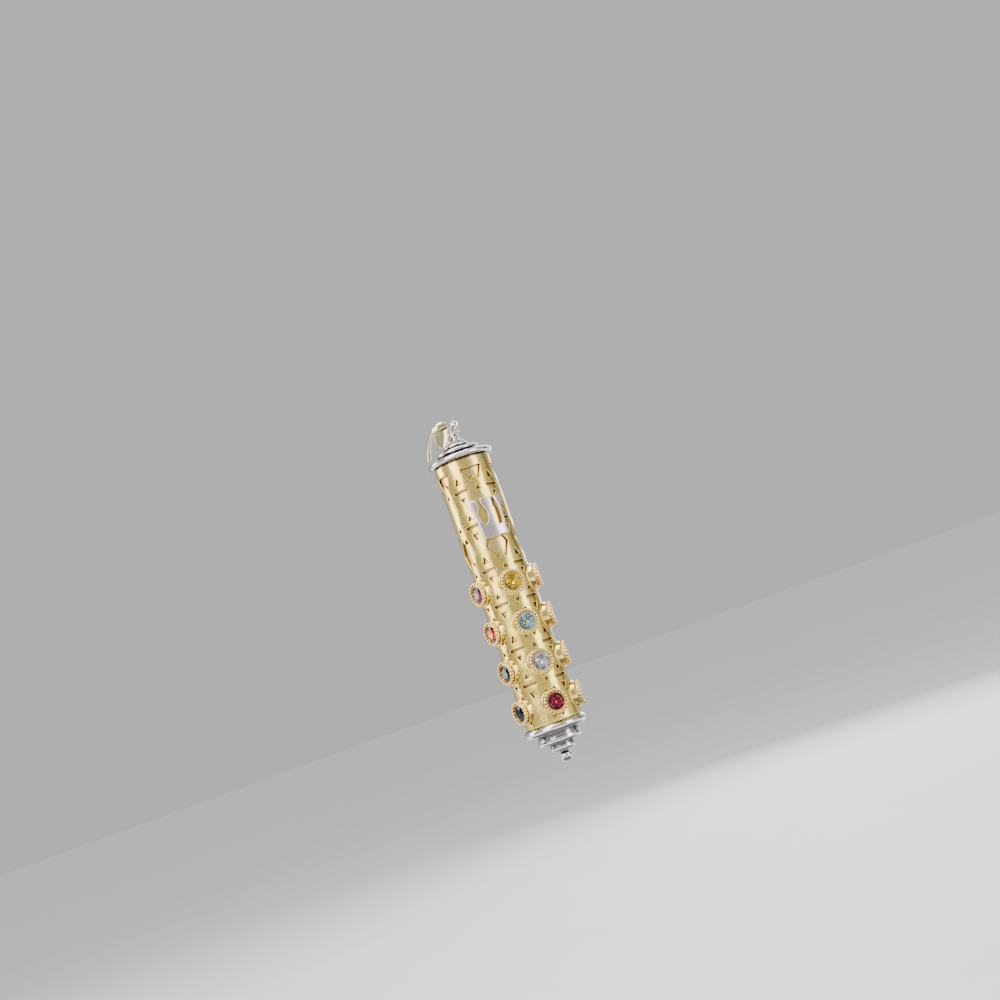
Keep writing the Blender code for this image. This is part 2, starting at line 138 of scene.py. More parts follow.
# Emblem: corners and smooth points of a plain three-armed form, from its lower edge
EMBLEM_R = (5.04, 5.90)
EMBLEM_TURN = 2.5
EMBLEM_Z = 40.05
EMBLEM_ROUND = 0.17
EMBLEM_OUTLINE = (
    (-2.42, 0.00, "corner"), (2.42, 0.00, "corner"), (2.52, 3.60, "smooth"), (2.70, 4.70, "smooth"),
    (3.28, 5.90, "smooth"), (3.34, 7.00, "corner"), (1.78, 6.95, "corner"), (1.68, 6.20, "smooth"),
    (2.08, 4.60, "smooth"), (1.92, 2.20, "smooth"), (0.85, 2.20, "smooth"), (0.54, 4.50, "smooth"),
    (1.10, 5.60, "smooth"), (1.14, 6.95, "corner"), (-0.92, 7.05, "corner"), (-0.94, 6.00, "smooth"),
    (-0.32, 4.60, "smooth"), (-0.50, 3.50, "smooth"), (-1.15, 2.50, "smooth"), (-1.86, 3.40, "smooth"),
    (-1.98, 4.60, "smooth"), (-1.56, 5.50, "smooth"), (-1.56, 7.00, "corner"), (-3.22, 7.05, "corner"),
    (-3.18, 6.10, "smooth"), (-2.70, 4.80, "smooth"), (-2.56, 3.60, "smooth"),
)

# Fittings, in a frame turned about the tube's axis
FITTINGS = Matrix.Rotation(math.radians(-15), 4, "Z")
EYE_WIRE_R = 0.28
EYE_ARCH = (0.93, 59.33)
EYE_FOOT_X = 1.30
EYE_BEAD_R = 0.33
EYE_BEAD_X = EYE_FOOT_X + 0.16
RING_CENTRE = Vector((0.5, 0.0, 60.6))
RING_LEAN = 26.6
RING_R = (1.3, 1.8)
RING_HALF_WIDTH = (0.25, 0.55)
RING_ROUND = (0.08, 0.10)
RING_SEGMENTS = 96
LUG_R = (0.85, 0.2)
BAIL_THICKNESS = 0.34
FOLD_CENTRE = (0.4, 62.25)
FOLD_R = 0.8
FOLD_EDGES = (-2.95, -0.05)
FOLD_CROWN = 0.28
FOLD_CROWN_GAIN = 0.12
FOLD_NARROWING = 0.3
FOLD_DROP = 0.12
ARM_TOP = (-3.10, -0.46, 61.36)
ARM_REACH = 2.05
ARM_BEND = 78.0
ARM_DROP = 4.4
ARM_STEPS = 7


# ---------------------------------------------------------------- meshes

def add_object(name, bm, looks, sharp=35.0, flat=False):
    """Makes an object from a bmesh in millimetres."""
    bmesh.ops.recalc_face_normals(bm, faces=bm.faces)
    mesh = bpy.data.meshes.new(name)
    bm.to_mesh(mesh)
    bm.free()
    mesh.transform(Matrix.Scale(MM, 4))
    for look in looks:
        mesh.materials.append(look)
    if flat:
        mesh.shade_flat()
    else:
        mesh.shade_smooth()
        mesh.set_sharp_from_angle(angle=math.radians(sharp))
    obj = bpy.data.objects.new(name, mesh)
    bpy.context.scene.collection.objects.link(obj)
    return obj


def stand_for(obj, node, body):
    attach(obj, body)
    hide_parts(node)


def rounded(points, closed=False):
    """Points (x, y, corner radius) as a line whose corners are arcs."""
    count = len(points)
    line = []
    for i, (x, y, radius) in enumerate(points):
        corner = Vector((x, y))
        if not closed and i in (0, count - 1) or not radius:
            line.append(corner)
            continue
        before = Vector(points[i - 1][:2]) - corner
        after = Vector(points[(i + 1) % count][:2]) - corner
        half = before.angle(after) / 2
        reach = min(radius / math.tan(half), 0.49 * before.length, 0.49 * after.length)
        start = corner + before.normalized() * reach
        end = corner + after.normalized() * reach
        middle = (before.normalized() + after.normalized()).normalized()
        centre = corner + middle * reach / math.cos(half)
        for step in range(ROUND_STEPS + 1):
            spoke = (start - centre).slerp(end - centre, step / ROUND_STEPS).normalized()
            line.append(centre + spoke * (start - centre).length)
    return line


def skin(bm, rows, round_rows=False, round_points=True, ends=False):
    """Joins rows of points into faces."""
    made = [[bm.verts.new(point) for point in row] for row in rows]
    pairs = list(zip(made, made[1:]))
    if round_rows:
        pairs.append((made[-1], made[0]))
    count = len(made[0])
    for this, following in pairs:
        for i in range(count if round_points else count - 1):
            j = (i + 1) % count
            bm.faces.new((this[i], this[j], following[j], following[i]))
    if ends:
        bm.faces.new(made[0])
        bm.faces.new(made[-1])


def turned(profile, segments, closed=False):
    """A profile of (radius, height) points turned about Z; points on the axis are merged."""
    bm = bmesh.new()
    rows = []
    for step in range(segments):
        turn = 2 * math.pi * step / segments
        rows.append([Vector((p.x * math.cos(turn), p.x * math.sin(turn), p.y)) for p in profile])
    skin(bm, rows, round_rows=True, round_points=closed)
    bmesh.ops.remove_doubles(bm, verts=bm.verts, dist=1e-5)
    bmesh.ops.dissolve_degenerate(bm, edges=bm.edges, dist=1e-6)
    return bm


def smooth_path(stations, share):
    """A value between stations, on a Catmull-Rom curve; share runs from 0 to the last index."""
    i = min(int(share), len(stations) - 2)
    t = share - i
    ends = [stations[max(0, min(len(stations) - 1, i + k))] for k in (-1, 0, 1, 2)]
    result = []
    for a, b, c, d in zip(*ends):
        curve = 2 * b + (c - a) * t + (2 * a - 5 * b + 4 * c - d) * t ** 2
        result.append((curve + (3 * b - a - 3 * c + d) * t ** 3) / 2)
    return result


def flat_sheet(outlines, thickness, edge):
    """A flat sheet in the XY plane with holes and rounded edges; its middle lies at Z 0."""
    curve = bpy.data.curves.new("sheet", "CURVE")
    curve.dimensions = "2D"
    curve.fill_mode = "BOTH"
    curve.extrude = thickness / 2 - edge
    curve.bevel_depth = edge
    curve.bevel_resolution = 3
    curve.offset = -edge
    for outline in outlines:
        spline = curve.splines.new("POLY")
        spline.points.add(len(outline) - 1)
        for point, (x, y) in zip(spline.points, outline):
            point.co = (x, y, 0, 1)
        spline.use_cyclic_u = True
    obj = bpy.data.objects.new("sheet", curve)
    bpy.context.scene.collection.objects.link(obj)
    evaluated = obj.evaluated_get(bpy.context.evaluated_depsgraph_get())
    mesh = bpy.data.meshes.new_from_object(evaluated)
    bm = bmesh.new()
    bm.from_mesh(mesh)
    bmesh.ops.remove_doubles(bm, verts=bm.verts, dist=1e-5)
    bpy.data.objects.remove(obj)
    bpy.data.meshes.remove(mesh)
    return bm


def slice_bmesh(bm, places, normal):
    for place in places:
        geometry = bm.verts[:] + bm.edges[:] + bm.faces[:]
        bmesh.ops.bisect_plane(
            bm, geom=geometry, dist=1e-5, plane_co=Vector(normal) * place, plane_no=normal
        )


def keep_between(bm, low, high):
    """Cuts away what lies outside two planes across X and leaves the cuts open."""
    for place, side in ((low, -1), (high, 1)):
        geometry = bm.verts[:] + bm.edges[:] + bm.faces[:]
        bmesh.ops.bisect_plane(
            bm, geom=geometry, dist=1e-5, plane_co=(place, 0, 0), plane_no=(side, 0, 0), clear_outer=True
        )


def wrap(bm, radius, middle, turn=0.0):
    """Rolls a flat sheet about Z: X is the way round at a radius, Y is up and Z is out."""
    for vert in bm.verts:
        angle = vert.co.x / radius + turn
        out = middle + vert.co.z
        vert.co = Vector((out * math.sin(angle), -out * math.cos(angle), vert.co.y))


# ---------------------------------------------------------------- materials

SLEEVE_LIGHT = (1.0, 0.79, 0.22)
SLEEVE_DEEP = (0.93, 0.66, 0.13)
# painted shade colour for the sleeve's cut walls and inner side
CUT_WALL_SHADE = (0.36, 0.19, 0.05)
CAP_LIGHT = (0.88, 0.85, 0.84)
CAP_DEEP = (0.76, 0.71, 0.71)
# painted shade colour for the grooves between the cap discs
CAP_GROOVE_SHADE = (0.10, 0.08, 0.085)


class Look:
    """A Principled material and its node tree."""

    def __init__(self, name, **values):
        self.material = bpy.data.materials.new(name)
        self.material.use_nodes = True
        self.nodes = self.material.node_tree.nodes
        self.links = self.material.node_tree.links
        self.shader = self.nodes["Principled BSDF"]
        for socket, value in values.items():
            self.shader.inputs[socket.replace("_", " ")].default_value = value
        self.place = self.nodes.new("ShaderNodeTexCoord").outputs["Object"]
        self.face = None

    def node(self, kind, inputs, **settings):
        made = self.nodes.new(kind)
        for key, value in settings.items():
            setattr(made, key, value)
        for key, value in inputs.items():
            if isinstance(value, bpy.types.NodeSocket):
                self.links.new(value, made.inputs[key])
            else:
                made.inputs[key].default_value = value
        return made

    def noise(self, size, detail=3.0, stretch=None):
        """Noise whose features are about size millimetres across."""
        place = self.place
        if stretch:
            place = self.node("ShaderNodeMapping", {"Vector": place, "Scale": stretch}).outputs[0]
        inputs = {"Vector": place, "Scale": 1 / (size * MM), "Detail": detail}
        return self.node("ShaderNodeTexNoise", inputs).outputs["Fac"]

    def spread(self, value, low, high, start=0.3, end=0.7):
        inputs = {"Value": value, "From Min": start, "From Max": end, "To Min": low, "To Max": high}
        return self.node("ShaderNodeMapRange", inputs).outputs[0]

    def mix(self, share, first, second):
        made = self.nodes.new("ShaderNodeMix")
        made.data_type = "RGBA"
        self.links.new(share, made.inputs["Factor"])
        for key, value in (("A", first), ("B", second)):
            socket = [s for s in made.inputs if s.name == key and s.type == "RGBA"][0]
            if isinstance(value, bpy.types.NodeSocket):
                self.links.new(value, socket)
            else:
                socket.default_value = (*value, 1.0)
        return [s for s in made.outputs if s.type == "RGBA"][0]

    def radius(self):
        """Distance from the object's Z axis, in millimetres."""
        flat = self.node("ShaderNodeVectorMath", {0: self.place, 1: (1, 1, 0)}, operation="MULTIPLY")
        length = self.node("ShaderNodeVectorMath", {0: flat.outputs[0]}, operation="LENGTH")
        inputs = {0: length.outputs["Value"], 1: 1 / MM}
        return self.node("ShaderNodeMath", inputs, operation="MULTIPLY").outputs[0]

    def crevice_shade(self, face, deep, reach, full=0.45):
        """Paints shade: darkens a colour where other metal stands within reach millimetres."""
        inputs = {"Distance": reach * MM}
        open_share = self.node("ShaderNodeAmbientOcclusion", inputs, samples=12).outputs["AO"]
        return self.mix(self.spread(open_share, 0, 1, start=full, end=1.0), deep, face)

    def use(self, socket, output):
        self.links.new(output, self.shader.inputs[socket])

    def bump(self, height, depth):
        """Raises the surface by a height from 0 to 1 times a depth in millimetres."""
        inputs = {"Height": height, "Distance": depth * MM, "Strength": 1.0}
        self.use("Normal", self.node("ShaderNodeBump", inputs).outputs["Normal"])


def metal(name, light, deep, roughness, bump=0.004, grain=0.35, crevice_shade=None, reach=0.4):
    """Polished precious metal: slow tone changes, uneven polish, handling marks and painted shade in
    crevices.
    """
    look = Look(name, Metallic=1.0)
    face = look.mix(look.spread(look.noise(2.4), 0, 1), light, deep)
    # Painted shade: the given dark colour is mixed in where other metal stands close.
    if crevice_shade:
        face = look.crevice_shade(face, crevice_shade, reach)
    look.face = face
    look.use("Base Color", face)
    polish = look.noise(grain, detail=6)
    look.use("Roughness", look.spread(polish, roughness[0], roughness[1]))
    marks = look.noise(0.22, detail=4, stretch=(1, 1, 0.35))
    look.bump(marks, bump)
    return look


def sleeve_gold():
    """Pale gold with painted shade on its cut walls and inner side, darker and warmer than the polished face.
    """
    look = metal("pale_yellow_gold", SLEEVE_LIGHT, SLEEVE_DEEP, (0.16, 0.30), bump=0.006)
    # Painted shade: points below the outer face, on the cut walls and the inner side, take the dark warm wall
    # colour.
    depth = look.spread(look.radius(), 0, 1, start=SLEEVE_R - 0.16, end=SLEEVE_R - 0.04)
    look.use("Base Color", look.mix(depth, CUT_WALL_SHADE, look.face))
    return look.material


def cap_gold():
    """White gold with bright rims; painted shade keeps the grooves between the discs darker."""
    polish = (0.05, 0.13)
    look = metal("white_gold_caps", CAP_LIGHT, CAP_DEEP, polish, bump=0.002, crevice_shade=CAP_GROOVE_SHADE, reach=0.9)
    # Painted shade: the mask darkens the grooves inside the disc rims.
    groove_shade = look.node("ShaderNodeAttribute", {}, attribute_name="groove_shade").outputs["Fac"]
    look.use("Base Color", look.mix(look.spread(groove_shade, 0, 1, start=0, end=1), look.face, CAP_GROOVE_SHADE))
    return look.material


def gem(name, bright, dark):
    """Crown and pavilion looks of a stone: clear facets over a reflecting back."""
    crown = Look(f"{name}_crown", Roughness=0.0, IOR=1.45, Transmission_Weight=1.0)
    pale = [c ** 0.2 for c in bright]
    pure = [c ** 0.4 for c in bright]
    crown.use("Base Color", crown.mix(crown.spread(crown.noise(1.1), 0, 1), pale, pure))
    back = Look(f"{name}_back", Metallic=1.0, Roughness=0.06)
    back.use("Base Color", back.mix(back.spread(back.noise(0.9), 0, 1), bright, dark))
    return [crown.material, back.material]


def parchment_look():
    look = Look("parchment", Roughness=0.8)
    tone = look.spread(look.noise(3.0, detail=8), 0, 1)
    look.use("Base Color", look.mix(tone, (0.80, 0.70, 0.50), (0.62, 0.50, 0.32)))
    look.bump(look.noise(0.3, detail=6), 0.02)
    return look.material


# ---------------------------------------------------------------- tube and sleeve

def make_tube(look):
    low, high, inner = SLEEVE_LOW.z, SLEEVE_HIGH.z, TUBE_R - TUBE_WALL
    profile = rounded(
        [(TUBE_R, high, 0.1), (TUBE_R, low, 0.1), (inner, low, 0.1), (inner, high, 0.1)], closed=True
    )
    obj = add_object("round_tube", turned(profile, CAP_SEGMENTS, closed=True), [look])
    stand_for(obj, "inner_tube", "case")


def lattice():
    """Openings that touch the half column from X 0 to HALF_COLUMN, as (way round, height) outlines."""
    holes = []
    wide, tall = WINDOW_HALF
    side, notch = WINDOW_NOTCH
    for z in WINDOW_ROWS:
        upper = [(wide, 0), (side, tall), (0, notch), (-side, tall)]
        holes.append([(x, z + y) for x, y in upper + [(-x, -y) for x, y in upper]])
    z, lip = TOP_WINDOW
    edge = wide + (wide - side) * (lip - z) / tall
    holes.append([(-edge, lip), (-side, z - tall), (0, z - notch), (side, z - tall), (edge, lip)])
    for z in STAR_ROWS:
        for up in (1, -1):
            base, apex, half = TIP_HOLE
            holes.append([(-half, z + up * base), (half, z + up * base), (0, z + up * apex)])
            across, depth = SLIT_HALF
            left, right, level = HALF_COLUMN - across, HALF_COLUMN + across, z + up * SLIT_OFFSET
            low, high = level - depth, level + depth
            holes.append([(left, low), (right, low), (right, high), (left, high)])
            for base, apex, half in WEB_HOLES:
                corners = ((-half, base), (half, base), (0, apex))
                holes.append([(HALF_COLUMN + x, z + up * y) for x, y in corners])
    return holes


def make_sleeve(look):
    low, high = SLEEVE_LOW.z, SLEEVE_HIGH.z
    left, right = -SHEET_MARGIN, HALF_COLUMN + SHEET_MARGIN
    border = [(left, low), (right, low), (right, high), (left, high)]
    bm = flat_sheet([border] + lattice(), SLEEVE_WALL, EDGE_ROUND)
    keep_between(bm, 0, HALF_COLUMN)
    slice_bmesh(bm, [HALF_COLUMN * i / SLICES_ACROSS for i in range(1, SLICES_ACROSS)], (1, 0, 0))
    slice_bmesh(bm, [low + (high - low) * i / SLICES_UP for i in range(1, SLICES_UP)], (0, 1, 0))
    half = bpy.data.meshes.new("half_column")
    bm.to_mesh(half)
    bm.free()
    whole = bmesh.new()
    for column in range(COLUMNS):
        for mirror in (1, -1):
            before = len(whole.verts)
            whole.from_mesh(half)
            whole.verts.ensure_lookup_table()
            for vert in whole.verts[before:]:
                vert.co.x = vert.co.x * mirror + 2 * HALF_COLUMN * column
    bpy.data.meshes.remove(half)
    wrap(whole, SLEEVE_R, SLEEVE_R - SLEEVE_WALL / 2)
    bmesh.ops.remove_doubles(whole, verts=whole.verts, dist=WELD)
    for vert in whole.verts:
        out = Vector((vert.co.x, vert.co.y, 0))
        if out.length > SLEEVE_R - SLEEVE_WALL / 2:
            lift = sum(depth * noise.noise(vert.co * rate) for rate, depth in RIPPLE)
            vert.co += out.normalized() * lift
    obj = add_object("pierced_sleeve", whole, [look])
    stand_for(obj, "openwork_sleeve", "case")


# ---------------------------------------------------------------- caps and finial

def disc_profile(discs, necks, fillet=0.12):
    """Round-edged discs and the necks below them, from the top down."""
    profile = []
    for (middle, radius, thickness), neck, below in zip(discs, necks, discs[1:] + (None,)):
        half = thickness / 2
        upper, lower = middle + half, middle - half
        profile += [(radius, upper, half), (radius, lower, half), (neck, lower, fillet)]
        if below:
            profile.append((neck, below[0] + below[2] / 2, fillet))
    return profile


def mark_groove_shade(obj, discs):
    """Marks how far each point of a cap lies inside the rims of its discs, for the painted shade in the
    grooves.
    """
    marks = obj.data.attributes.new("groove_shade", "FLOAT", "POINT")
    for vert, mark in zip(obj.data.vertices, marks.data):
        r, z = vert.co.xy.length / MM, vert.co.z / MM
        _, radius, thickness = min(discs, key=lambda disc: abs(disc[0] - z) - disc[2] / 2)
        inside = (radius - thickness / 2 - r) / RECESS_FADE
        on_discs = discs[-1][0] - discs[-1][2] < z < discs[0][0] + discs[0][2]
        mark.value = max(0.0, min(1.0, inside)) if on_discs else 0.0


def make_top_cap(look):
    lowest = SLEEVE_HIGH.z + SEAT_GAP
    plug_end = lowest - PLUG_LENGTH
    profile = [(0, TOP_DISCS[0][0] + TOP_DISCS[0][2] / 2, 0)] + disc_profile(TOP_DISCS, TOP_NECKS)
    profile += [(TOP_NECKS[-1], lowest, 0.05), (PLUG_R, lowest, 0)]
    profile += [(PLUG_R, plug_end, PLUG_ROUND), (0, plug_end, 0)]
    obj = add_object("stepped_top_cap", turned(rounded(profile), CAP_SEGMENTS), [look])
    mark_groove_shade(obj, TOP_DISCS)
    stand_for(obj, "top_cap", "case")


def make_bottom_cap(look):
    seat = BOTTOM_DISCS[0][0] + BOTTOM_DISCS[0][2] / 2
    plug_top = seat + PLUG_LENGTH
    foot = BOTTOM_DISCS[-1][0] - BOTTOM_DISCS[-1][2] / 2
    profile = [(0, plug_top, 0), (PLUG_R, plug_top, PLUG_ROUND), (PLUG_R, seat, 0)]
    profile += disc_profile(BOTTOM_DISCS, BOTTOM_NECKS + (0,))[:-1] + [(0, foot, 0)]
    obj = add_object("stepped_bottom_cap", turned(rounded(profile), CAP_SEGMENTS), [look])
    mark_groove_shade(obj, BOTTOM_DISCS)
    stand_for(obj, "bottom_cap", "bottom_cap")


def make_finial(look):
    top = cad_size("finial")[1].z
    start = math.asin(FINIAL_NECK_R / FINIAL_R)
    turns = [start + (math.pi - start) * i / FINIAL_STEPS for i in range(FINIAL_STEPS + 1)]
    ball = [Vector((FINIAL_R * math.sin(t), FINIAL_R + FINIAL_R * math.cos(t))) for t in turns]
    wide, deep, edge = FINIAL_COLLAR
    collar = [(0, top, 0), (wide, top, edge), (wide, top - deep, edge), (FINIAL_NECK_R, top - 0.2, 0)]
    obj = add_object("finial_ball", turned(rounded(collar) + ball, 64), [look])
    stand_for(obj, "finial", "bottom_cap")


# ---------------------------------------------------------------- stones and bezels

def outwards(turn, z):
    """Places a piece built along +Z so that it points out from the tube's axis at a height."""
    spin = Matrix.Rotation(math.radians(turn), 4, "Z")
    tip = Matrix.Rotation(math.radians(90), 4, "X")
    return Matrix.Translation((0, 0, z * MM)) @ spin @ tip


def bezel_section(turn):
    """Points of the bezel's wall at one turn about the stone's axis, from the saddle outside to inside."""
    phase = (turn * BEADS / (2 * math.pi)) % 1
    bead = math.sqrt(max(0.0, 1 - (2 * phase - 1) ** 2))

    def saddle(radius):
        return math.sqrt(SADDLE_R ** 2 - (radius * math.cos(turn)) ** 2)

    inner, outer = BEZEL_R
    wall = BEZEL_WALL[0] + BEZEL_WALL[1] * bead
    line = [(outer, saddle(outer)), *BEZEL_FLANGE, (wall - 0.02, 5.62), (wall, 5.78), (wall, 5.90)]
    ring_r, ring_h = BEAD_RING
    thin, thick = BEAD_R
    radius = thin + (thick - thin) * bead
    for step in range(11):
        around = math.radians(-40 + 250 * step / 10)
        line.append((ring_r + radius * math.cos(around), ring_h + radius * math.sin(around)))
    line += [*BEZEL_SEAT, (inner, saddle(inner))]
    return [Vector((r * math.cos(turn), r * math.sin(turn), h)) for r, h in line]


def make_bezels(look):
    segments = BEADS * BEAD_STEPS
    bm = bmesh.new()
    skin(bm, [bezel_section(2 * math.pi * i / segments) for i in range(segments)], round_rows=True)
    first = add_object("beaded_bezel", bm, [look], sharp=50)
    pattern = first.data
    bpy.data.objects.remove(first)
    for column, turn in COLUMN_TURNS.items():
        for row, z in enumerate(STONE_ROWS, start=1):
            mesh = pattern.copy()
            mesh.transform(outwards(turn, z))
            obj = bpy.data.objects.new(f"beaded_bezel_{column}_{row}", mesh)
            bpy.context.scene.collection.objects.link(obj)
            stand_for(obj, f"bezel_{column}_{row}", "case")


def brilliant(spin):
    """A round brilliant cut; the faces behind the girdle take the second material."""
    bm = bmesh.new()
    table_r, table_h = TABLE
    step = math.radians(22.5)

    def ring(radius, height, count, first=0.0):
        turns = [spin + first + 2 * math.pi * i / count for i in range(count)]
        return [bm.verts.new((radius * math.cos(t), radius * math.sin(t), height)) for t in turns]

    def between(inner, outer, share):
        """Radius and height of a facet's side corner, on the plane of the facet from inner to outer."""
        radius = inner[0] + (outer[0] - inner[0]) * share
        flat = (radius * math.cos(step) - inner[0]) / (outer[0] - inner[0])
        return radius, inner[1] + (outer[1] - inner[1]) * flat

    def facets(inner, middle, edge, back):
        for i in range(8):
            left, right = middle[i - 1], middle[i]
            corners = [edge[2 * i], edge[2 * i + 1], edge[(2 * i + 2) % 16]]
            if len(inner) > 1:
                bm.faces.new((inner[i], right, inner[(i + 1) % 8]))
            kite = bm.faces.new((inner[i % len(inner)], left, corners[0], right))
            halves = [bm.faces.new((right, *pair)) for pair in (corners[:2], corners[1:])]
            for face in [kite] + halves:
                face.material_index = back

    table = ring(table_r, table_h, 8)
    bm.faces.new(table)
    upper = ring(STONE_R, GIRDLE[0], 16)
    lower = ring(STONE_R, GIRDLE[1], 16)
    crown = ring(*between(TABLE, (STONE_R, GIRDLE[0]), CROWN_SHARE), 8, first=step)
    facets(table, crown, upper, 0)
    for i in range(16):
        bm.faces.new((upper[i], upper[(i + 1) % 16], lower[(i + 1) % 16], lower[i]))
    tip = [bm.verts.new((0, 0, CULET))]
    pavilion = ring(*between((0, CULET), (STONE_R, GIRDLE[1]), PAVILION_SHARE), 8, first=step)
    facets(tip, pavilion, lower, 1)
    return bm


def make_stones(gems):
    for column, turn in COLUMN_TURNS.items():
        for row, z in enumerate(STONE_ROWS, start=1):
            slot, looks = gems[column][row - 1]
            obj = add_object(f"cut_stone_{column}_{row}", brilliant(SPIN_PER_ROW * row), looks, flat=True)
            obj.data.transform(outwards(turn, z))
            stand_for(obj, f"stone_{column}_{row}", "case")


# ---------------------------------------------------------------- emblem

def emblem_line():
    """The emblem's outline, with smooth runs between its corners."""
    points = [(x, z) for x, z, _ in EMBLEM_OUTLINE]
    kinds = [kind for _, _, kind in EMBLEM_OUTLINE]
    count = len(points)
    line = []
    for i in range(count):
        here, after = points[i], points[(i + 1) % count]
        before = here if kinds[i] == "corner" else points[i - 1]
        beyond = after if kinds[(i + 1) % count] == "corner" else points[(i + 2) % count]
        steps = 1 if before == here and beyond == after else ROUND_STEPS
        for step in range(steps):
            line.append(tuple(smooth_path([before, here, after, beyond], 1 + step / steps)))
    return line


def make_emblem(look):
    inner, outer = EMBLEM_R
    bm = flat_sheet([[(x, EMBLEM_Z + z) for x, z in emblem_line()]], outer - inner, EMBLEM_ROUND)
    slice_bmesh(bm, [i * 0.3 for i in range(-12, 13)], (1, 0, 0))
    slice_bmesh(bm, [EMBLEM_Z + 0.5 * i for i in range(1, 14)], (0, 1, 0))
    wrap(bm, outer, (inner + outer) / 2, turn=math.radians(EMBLEM_TURN))
    obj = add_object("satin_emblem", bm, [look], sharp=50)
    stand_for(obj, "front_emblem", "case")


# ---------------------------------------------------------------- eye, ring and bail

def sweep(bm, path, radius, sides):
    """A round wire along a path in the XZ plane."""
    rows = []
    side = Vector((0, 1, 0))
    for i, point in enumerate(path):
        along = (path[min(i + 1, len(path) - 1)] - path[max(i - 1, 0)]).normalized()
        across = along.cross(side)
        turns = [2 * math.pi * k / sides for k in range(sides)]
        rows.append([point + radius * (math.cos(t) * side + math.sin(t) * across) for t in turns])
    skin(bm, rows, ends=True)


def join_solid(obj, other):
    """Unites another object with obj and removes it."""
    union = obj.modifiers.new("join", "BOOLEAN")
    union.operation = "UNION"
    union.solver = "EXACT"
    union.object = other
    evaluated = obj.evaluated_get(bpy.context.evaluated_depsgraph_get())
    mesh = bpy.data.meshes.new_from_object(evaluated)
    obj.modifiers.clear()
    obj.data = mesh
    bpy.data.objects.remove(other)
    mesh.shade_smooth()
    mesh.set_sharp_from_angle(angle=math.radians(45))


def make_eye(look):
    foot = TOP_DISCS[0][0] + TOP_DISCS[0][2] / 2 + SEAT_GAP
    arch_r, arch_z = EYE_ARCH
    turns = [math.radians(200 - 220 * i / 10) for i in range(11)]
    stations = [(-EYE_FOOT_X, 0, foot)]
    stations += [(arch_r * math.cos(t), 0, arch_z + arch_r * math.sin(t)) for t in turns]
    stations.append((EYE_FOOT_X, 0, foot))
    steps = (len(stations) - 1) * 6
    path = [Vector(smooth_path(stations, i * (len(stations) - 1) / steps)) for i in range(steps + 1)]
    bm = bmesh.new()
    sweep(bm, path, EYE_WIRE_R, 24)
    geometry = bm.verts[:] + bm.edges[:] + bm.faces[:]
    bmesh.ops.bisect_plane(
        bm, geom=geometry, plane_co=(0, 0, foot), plane_no=(0, 0, -1), clear_outer=True
    )
    bmesh.ops.holes_fill(bm, edges=bm.edges)
    eye = add_object("hanging_arch", bm, [look])
    for side in (-1, 1):
        bm = bmesh.new()
        bmesh.ops.create_icosphere(bm, subdivisions=4, radius=EYE_BEAD_R)
        bmesh.ops.translate(bm, verts=bm.verts, vec=(side * EYE_BEAD_X, 0, foot + EYE_BEAD_R))
        join_solid(eye, add_object("eye_bead", bm, [look]))
    eye.data.transform(FITTINGS)
    stand_for(eye, "hanging_eye", "case")


def make_ring(look):
    lean = math.radians(RING_LEAN)
    up = Vector((math.sin(lean), 0, math.cos(lean)))
    axis = Vector((math.cos(lean), 0, -math.sin(lean)))
    back = Vector((0, 1, 0))
    inner, outer = RING_R
    narrow, broad = RING_HALF_WIDTH
    inside, outside = RING_ROUND
    rows = []
    for i in range(RING_SEGMENTS):
        turn = 2 * math.pi * i / RING_SEGMENTS
        radial = math.cos(turn) * up + math.sin(turn) * back
        half = narrow + (broad - narrow) * (1 + math.cos(turn)) / 2
        corners = [(inner, half, inside), (outer, half, outside)]
        corners += [(outer, -half, outside), (inner, -half, inside)]
        rows.append([RING_CENTRE + p.x * radial + p.y * axis for p in rounded(corners, closed=True)])
    bm = bmesh.new()
    skin(bm, rows, round_rows=True)
    ring = add_object("band_ring", bm, [look])
    ring.data.transform(FITTINGS)
    stand_for(ring, "connector_ring", "ring")


def bail_stations():
    """(left edge, right edge, depth, height, crown) up the back leaf, over the fold and down the free arm."""
    leaf = [
        (-2.42, -1.98, 1.16, 58.45, 0.00),
        (-2.72, -1.62, 1.24, 58.75, 0.06),
        (-3.02, -1.10, 1.30, 59.40, 0.14),
        (-3.18, -0.60, 1.32, 60.20, 0.20),
        (-3.14, -0.30, 1.28, 61.00, 0.24),
        (-3.00, -0.12, 1.22, 61.70, 0.28),
    ]
    fold = []
    for degrees in range(10, 170, 30):
        turn = math.radians(degrees)
        lift = math.sin(turn)
        left, right = FOLD_EDGES[0] + FOLD_NARROWING * lift, FOLD_EDGES[1] - FOLD_NARROWING * lift
        depth = FOLD_CENTRE[0] + FOLD_R * math.cos(turn)
        height = FOLD_CENTRE[1] + (FOLD_R - FOLD_DROP) * lift
        fold.append((left, right, depth, height, FOLD_CROWN + FOLD_CROWN_GAIN * lift))
    lip = [
        (-3.02, -0.05, -0.40, 62.12, 0.26),
        (-3.12, -0.12, -0.42, 61.88, 0.22),
        (-3.22, -1.40, -0.44, 61.66, 0.10),
        (-3.42, -2.78, -0.46, 61.36, 0.00),
    ]
    arm = []
    across, depth, top = ARM_TOP
    for i in range(1, ARM_STEPS + 1):
        share = i / ARM_STEPS
        middle = across - ARM_REACH * math.sin(share * math.radians(ARM_BEND))
        half = 0.25 + 0.12 * share
        arm.append((middle - half, middle + half, depth - 0.25 * share, top - ARM_DROP * share, 0.0))
    return leaf + fold + lip + arm


